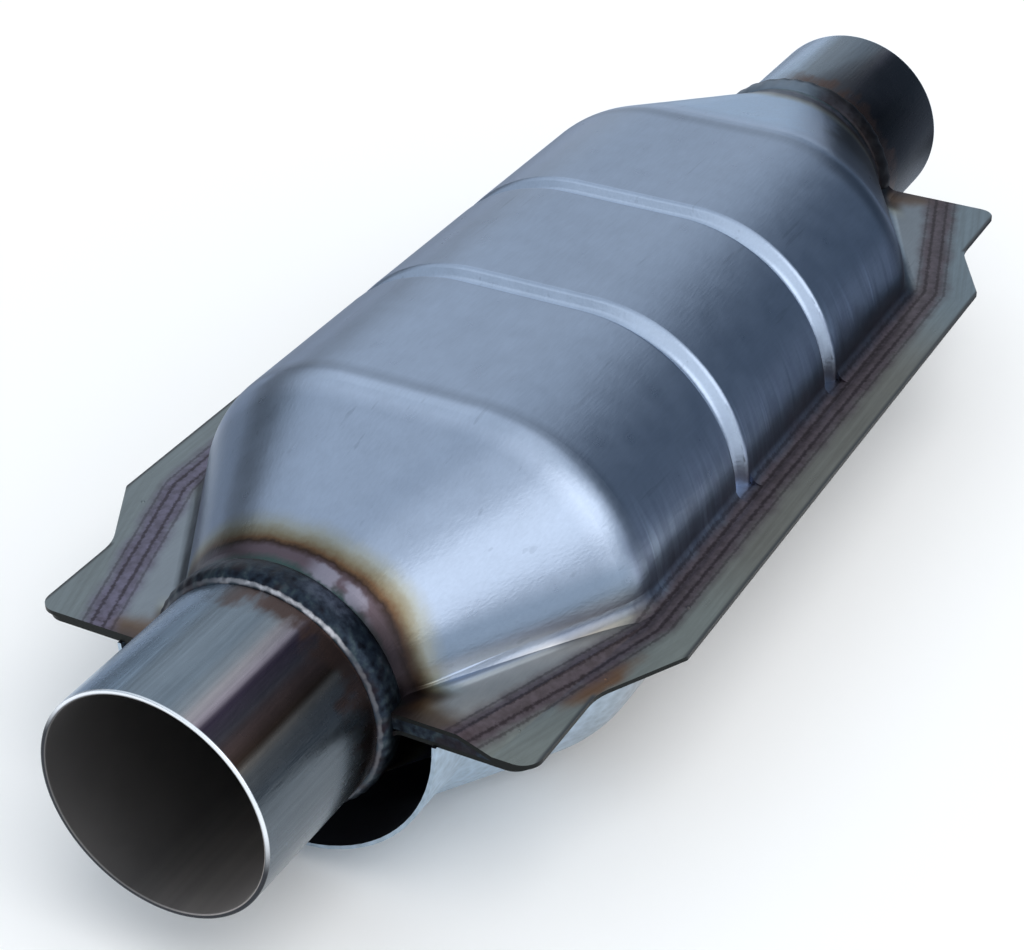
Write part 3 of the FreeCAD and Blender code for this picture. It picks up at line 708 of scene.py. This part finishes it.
# Painted highlight along the toe, right of the top.
toe_off = added(tree, centred(tree, mottle), 0.0008, past_neck)
toe_highlight_mask = product(
    tree, ease(tree, away(tree, angle, TOE_HIGHLIGHT_ANGLE), 22.0, 40.0, 1.0, 0.16),
    ease(tree, noise(tree, place, 260, 3), 0.38, 0.58, 0.45, 1.0),
    fade(tree, away(tree, toe_off, TOE_PLACE), 0.0001, 0.0005))
colour = blend(tree, toe_highlight_mask, colour, TOE_HIGHLIGHT)
wear(tree, shader, colour, added(tree, mottle, 0.30, 0.25), mottle, 0.4, 0.0004)
for name, outward in (("inlet", -1), ("outlet", 1)):
    profile = bead_profile(MIDDLE + outward * FLANGE_END, outward)
    lumps = bead_lumps(2 * FACE_STEPS - 1, WELD_LUMP[name], WELD_PITCH[name])
    lumps = np.concatenate([lumps, np.zeros((2, AROUND))])
    bead = turned(name + "_weld_bead", profile, lumps)
    bead.data.materials.append(weld_metal)
    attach(bead, "root")
    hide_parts(name + "_ring_weld")
dress(weld_metal, "front_ear_weld")

# Seam tracks: the wheels of the seam welder left one faintly rippled track along each side of both
# flanges.
TRACK_HALF_WIDTH = 0.0014
TRACK_RISE = 0.00006
TRACK_SINK = 0.00004
TRACK_PITCH = 0.0017
TRACK_SETBACK = 0.0035
SHEET = 0.0012
LIFT_START = 0.095
LIFT_RUN = 0.062
LIFT_HEIGHT = 0.0032
LIFT_SIDE = 0.066
LIFT_TAPER = 0.0085
LIFT_FALL = 0.3556


def ear_rise(x, y):
    """Rise of the upper sheet on the front right ear: nothing behind a point beside the body's end,
    then the lesser of a slope along the flange and a slope falling away from the neck."""
    share = (MIDDLE - x - LIFT_START) / LIFT_RUN
    outward = LIFT_FALL * (LIFT_SIDE - LIFT_TAPER * share - np.abs(y))
    return np.where(y < 0, np.maximum(0, np.minimum(LIFT_HEIGHT * share, outward)), 0)


def seam_line(run):
    """Distance of the seam from the middle: SEAM_SIDE - SEAM_SLOPE max(|run| - SEAM_TURN, 0)."""
    return SEAM_SIDE - SEAM_SLOPE * np.maximum(np.abs(run) - SEAM_TURN, 0)


def seam_track(name, side, face):
    """Rippled strip on the flange along the seam line, y = side (seam_line(run) + offset). Its
    height is a parabola across times a cosine along, and its edges are sunk."""
    run = np.linspace(TRACK_SETBACK - FLANGE_END, FLANGE_END - TRACK_SETBACK, 1081)[:, None]
    across_track = np.linspace(-1, 1, 9)[None, :]
    x = MIDDLE + run + 0 * across_track
    y = side * (seam_line(run) + TRACK_HALF_WIDTH * across_track)
    ripple = 0.95 + 0.05 * np.cos(2 * np.pi * run / TRACK_PITCH + 1.3 * across_track ** 2)
    height = (TRACK_RISE + TRACK_SINK) * (1 - across_track ** 2) * ripple - TRACK_SINK
    z = face * (SHEET + height) + (ear_rise(x, y) if face > 0 else 0)
    return surface(name, np.stack([x, y, z], -1)[:, ::side * face])


for face, half in ((1, "upper"), (-1, "lower")):
    for side, hand in ((1, "left"), (-1, "right")):
        track = seam_track(half + "_" + hand + "_seam_track", side, face)
        track.data.materials.append(shell_steel)
        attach(track, "root")

# Weld spatter: small drops of steel that froze on the flange beside the seams, and three bigger
# ones.
SPATTER_COUNT = 34
DROP_FLATNESS = 0.4
DROP_SINK = 0.00003
BIG_DROPS = ((0.1198, -0.0722, 0.0007), (0.0850, -0.0672, 0.00055), (0.0975, 0.0722, 0.0006))


def drops(name, centres, radii):
    """Low domes of radius r: points at share s of r stand at DROP_FLATNESS r sqrt(1 - s^2)."""
    share = np.linspace(1, 0, 5)[:, None]
    angle = np.linspace(0, 2 * np.pi, 12, endpoint=False)[None, :]
    height = DROP_FLATNESS * np.sqrt(1 - share ** 2) + 0 * angle
    dome = np.stack([share * np.cos(angle), share * np.sin(angle), height], -1)
    points = centres[:, None, None, :] + radii[:, None, None, None] * dome
    first_points = np.arange(len(radii))[:, None, None] * height.size
    return shape(name, points, quads_over(*height.shape, wrap_columns=True) + first_points)


drop_run = rng.uniform(-0.148, 0.148, SPATTER_COUNT)
drop_side = rng.choice([-1.0, 1.0], SPATTER_COUNT)
drop_off = rng.choice([-1.0, 1.0], SPATTER_COUNT) * rng.uniform(0.0022, 0.0055, SPATTER_COUNT)
drop_off = np.where(np.abs(drop_run) < 0.10, np.abs(drop_off), drop_off)
drop_radii = rng.uniform(0.00020, 0.00042, SPATTER_COUNT)
drop_y = drop_side * (seam_line(drop_run) + drop_off)
small_drops = np.stack([MIDDLE + drop_run, drop_y, drop_radii], -1)
drop_x, drop_y, drop_radii = np.concatenate([small_drops, BIG_DROPS]).T
drop_z = SHEET - DROP_SINK + ear_rise(drop_x, drop_y)
spatter = drops("weld_spatter", np.stack([drop_x, drop_y, drop_z], -1), drop_radii)
spatter.data.materials.append(shell_steel)
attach(spatter, "root")

# Heat shield: 1 mm aluminised sheet pressed into a boat and tacked under the flange. Pale and matt
# outside with a faint spangle, with painted shade behind its front corner and inside.
SHIELD_PALE = (0.42, 0.52, 0.62, 1)
SHIELD_SHADE = (0.37, 0.375, 0.385, 1)
SHIELD_INSIDE_SHADE = (0.03, 0.032, 0.04, 1)
shield_sheet, tree, shader, place = material("shield_sheet", 1)
spangle = node(tree, "TexVoronoi", {"Vector": place, "Scale": 420.0}).outputs["Distance"]
# Painted shade behind the front corner.
sheet = blend(tree, ease(tree, split(tree, place)[0], 0.085, 0.125), SHIELD_PALE, SHIELD_SHADE)
finish = place_effect(tree, mill_finish, {
    "Place": place, "Colour": sheet, "Cloud": 0.35, "Roughness": 0.45})
colour = dye(tree, 1.0, finish["Colour"], added(tree, spangle, 0.35, 0.82))
# Painted shade on the upward-facing inside.
facing = split(tree, node(tree, "NewGeometry").outputs["Normal"])[2]
shaded_inside = ease(tree, facing, 0.02, 0.12)
colour = blend(tree, shaded_inside, colour, SHIELD_INSIDE_SHADE)
roughness = added(tree, shaded_inside, 0.3, finish["Roughness"])
wear(tree, shader, colour, roughness, spangle, 0.15, 0.0003)
dress(shield_sheet, "heat_shield")

# Bricks: extruded ceramic honeycomb, dipped in a brown catalyst coat. Each modelled channel holds
# a block of real cells, whose thin walls are drawn on the ends with painted shade in the open
# cells.
CELL = 0.00127
COAT_STOPS = ((0.3, (0.30, 0.24, 0.18, 1)), (0.7, (0.50, 0.43, 0.34, 1)))
CELL_SHADE = (0.03, 0.025, 0.02, 1)
catalyst_ceramic, tree, shader, place = material("catalyst_ceramic")
x, y, z = split(tree, place)
walls = 0.0
for direction in (y, z):
    share = maths(tree, "FRACT", maths(tree, "DIVIDE", direction, CELL))
    walls = maths(tree, "MAXIMUM", walls, ease(tree, away(tree, share, 0.5), 0.36, 0.42))
dust = noise(tree, place, 600, 3)
coat = ramp(tree, dust, COAT_STOPS)
facing = maths(tree, "ABSOLUTE", split(tree, node(tree, "NewGeometry").outputs["Normal"])[0])
cell_shade = product(tree, maths(tree, "SUBTRACT", 1.0, walls), ease(tree, facing, 0.5, 0.8))
colour = blend(tree, cell_shade, coat, CELL_SHADE)
wear(tree, shader, colour, added(tree, dust, 0.2, 0.7), walls, 0.5, 0.0004)
dress(catalyst_ceramic, "front_brick", "rear_brick")

# Mats: needled mineral fibre, wrapped round each brick and squeezed when the shells are closed.
# They swell with heat, hold the brick and keep gas from passing round it.
FIBRE_STOPS = ((0.3, (0.48, 0.44, 0.35, 1)), (0.65, (0.80, 0.77, 0.68, 1)))
TUFT_BROWN = (0.42, 0.36, 0.27, 1)
mat_fibre, tree, shader, place = material("mat_fibre")
fibres = noise(tree, place, 900, 5, (0.25, 1, 1))
tufts = noise(tree, place, 160, 3)
colour = ramp(tree, fibres, FIBRE_STOPS)
colour = blend(tree, ease(tree, tufts, 0.4, 0.7, 0.0, 0.5), colour, TUFT_BROWN)
wear(tree, shader, colour, added(tree, tufts, 0.1, 0.85), fibres, 0.8, 0.0006)
dress(mat_fibre, "front_mat", "rear_mat")

# Wire seals: knitted stainless rope laid against each edge of a mat, where it keeps the gas from
# wearing the fibre away.
KNIT = 0.0011
SEAL_RADIUS = 0.045
WIRE_STOPS = ((0.2, (0.10, 0.10, 0.11, 1)), (0.8, (0.46, 0.46, 0.48, 1)))
seal_wire, tree, shader, place = material("seal_wire", 1)
x, y, z = split(tree, place)
loop_turn = maths(tree, "MULTIPLY", maths(tree, "ARCTAN2", y, z), 2 * math.pi * SEAL_RADIUS / KNIT)
row_turn = maths(tree, "MULTIPLY", x, 2 * math.pi / KNIT)
knit = product(tree, maths(tree, "SINE", loop_turn), maths(tree, "SINE", row_turn))
knit = added(tree, knit, 0.5, 0.5)
colour = ramp(tree, knit, WIRE_STOPS)
wear(tree, shader, colour, added(tree, knit, -0.2, 0.5), knit, 0.8, 0.0005)
dress(
    seal_wire, "front_brick_inlet_seal", "front_brick_outlet_seal", "rear_brick_inlet_seal",
    "rear_brick_outlet_seal")

# Floor: a sheet of white paper, plain to the camera. The steel mirrors it as grey behind the body,
# dark on the rear right, black beside the rear neck and pale far ahead, where a studio would stand
# boards out of the picture.
FLOOR_REACH = 30.0
PAPER = (0.95, 0.94, 0.925, 1)
PAPER_GREY = (0.30, 0.33, 0.38, 1)
PAPER_DARK = (0.15, 0.175, 0.22, 1)
PAPER_PALE = (0.62, 0.67, 0.76, 1)
PAPER_BLACK = (0.020, 0.022, 0.030, 1)
DARK_EDGE = (0.065, -0.156)
DARK_EDGE_RUN = (0.961, 0.276)
FAR_LINE_START = 0.50
FAR_LINE_SLOPE = 0.176
floor_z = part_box("heat_shield")[0].z
floor_corners = np.array([[[-1, -1], [1, -1]], [[-1, 1], [1, 1]]], float) * FLOOR_REACH
floor_points = np.concatenate([floor_corners, np.full((2, 2, 1), floor_z)], -1)
floor = surface("floor", floor_points)
floor_paper, tree, shader, place = material("floor_paper")
x, y, z = split(tree, place)
grey_side = ease(tree, added(tree, y, 0.8, x), 0.18, 0.48)
mirrored = blend(tree, grey_side, PAPER, PAPER_GREY)
edge_side = maths(tree, "MULTIPLY", maths(tree, "SUBTRACT", x, DARK_EDGE[0]), DARK_EDGE_RUN[1])
edge_off = added(tree, maths(tree, "SUBTRACT", y, DARK_EDGE[1]), -DARK_EDGE_RUN[0], edge_side)
dark_side = product(tree, ease(tree, edge_off, 0.0, 0.10), ease(tree, x, 0.22, 0.40))
mirrored = blend(tree, dark_side, mirrored, PAPER_DARK)
far_line = maths(tree, "MULTIPLY", maths(tree, "SUBTRACT", x, FAR_LINE_START), FAR_LINE_SLOPE)
far_line = maths(tree, "SUBTRACT", far_line, y)
far_pale = product(tree, ease(tree, x, 0.75, 1.1), fade(tree, far_line, -0.02, 0.0))
mirrored = blend(tree, far_pale, mirrored, PAPER_PALE)
black_side = product(
    tree, ease(tree, far_line, -0.004, 0.012), ease(tree, x, 0.46, 0.52),
    ease(tree, y, -0.07, -0.04))
mirrored = blend(tree, black_side, mirrored, PAPER_BLACK)
seen = node(tree, "LightPath").outputs["Is Camera Ray"]
feed(tree, shader, {
    "Base Color": blend(tree, seen, mirrored, PAPER), "Roughness": 0.9, "Specular IOR Level": 0.1})
floor.data.materials.append(floor_paper)

# Studio: a bright ceiling over dimmer walls. The right wall has a broad window, the corner between
# it and the wall ahead is almost black, the wall ahead is cool, the left one is dim, and a soft
# glow comes from behind the camera.
WALL_GLOWS = (
    (35, 10, 20, 50, 0.68, 1.20), (70, 0, 14, 40, 0.17, 1.20), (8, 0, 8, 26, 0.45, 1.40),
    (-150, 28, 20, 50, 1.12, 1.08), (-24, 6, 18, 44, 0.118, 1.95))
CEILING_GLOWS = (
    (62, 58, 14, 40, 0.76, 1.20), (38, 42, 4, 13, 1.00, 1.15), (-95, 33, 13, 33, 1.80, 1.02))
world = bpy.data.worlds.new("studio")
bpy.context.scene.world = world
world.use_nodes = True
tree = world.node_tree
direction = node(tree, "TexCoord").outputs["Generated"]


def tone(level, coolness):
    """Colour of the given level whose blue is coolness times its red."""
    return (level / coolness ** 0.5, level, level * coolness ** 0.5, 1)


def lit(light, turn, rise, inner, outer, level, coolness):
    """The light with a glow of the given tone, full within the inner angle of a direction and gone
    at the outer one. turn is the direction's angle from +X towards +Y and rise its angle above the
    floor, all in degrees."""
    turn, rise = math.radians(turn), math.radians(rise)
    aim = (math.cos(rise) * math.cos(turn), math.cos(rise) * math.sin(turn), math.sin(rise))
    nearness = node(tree, "VectorMath", {0: direction, 1: aim}, operation="DOT_PRODUCT")
    limits = math.cos(math.radians(outer)), math.cos(math.radians(inner))
    share = ease(tree, nearness.outputs["Value"], *limits)
    return blend(tree, share, light, tone(level, coolness))


light = tone(0.58, 1.22)
for glow in WALL_GLOWS:
    light = lit(light, *glow)
light = blend(tree, ease(tree, split(tree, direction)[2], 0.68, 0.82), light, tone(1.02, 1.12))
for glow in CEILING_GLOWS:
    light = lit(light, *glow)
tree.links.new(light, tree.nodes["Background"].inputs["Color"])

# A soft lamp from the upper right that whitens the paper and shapes the shadow.
SUN_DIRECTION = (-0.25, -0.45, 1.0)
SUN_SPREAD = 40
SUN_STRENGTH = 0.9
sun_data = bpy.data.lights.new("sun", "SUN")
sun_data.energy = SUN_STRENGTH
sun_data.angle = math.radians(SUN_SPREAD)
sun = bpy.data.objects.new("sun", sun_data)
sun.matrix_world = Vector(SUN_DIRECTION).to_track_quat("Z", "Y").to_matrix().to_4x4()
sun.visible_glossy = False
bpy.context.scene.collection.objects.link(sun)

bpy.context.scene.view_settings.view_transform = "Standard"
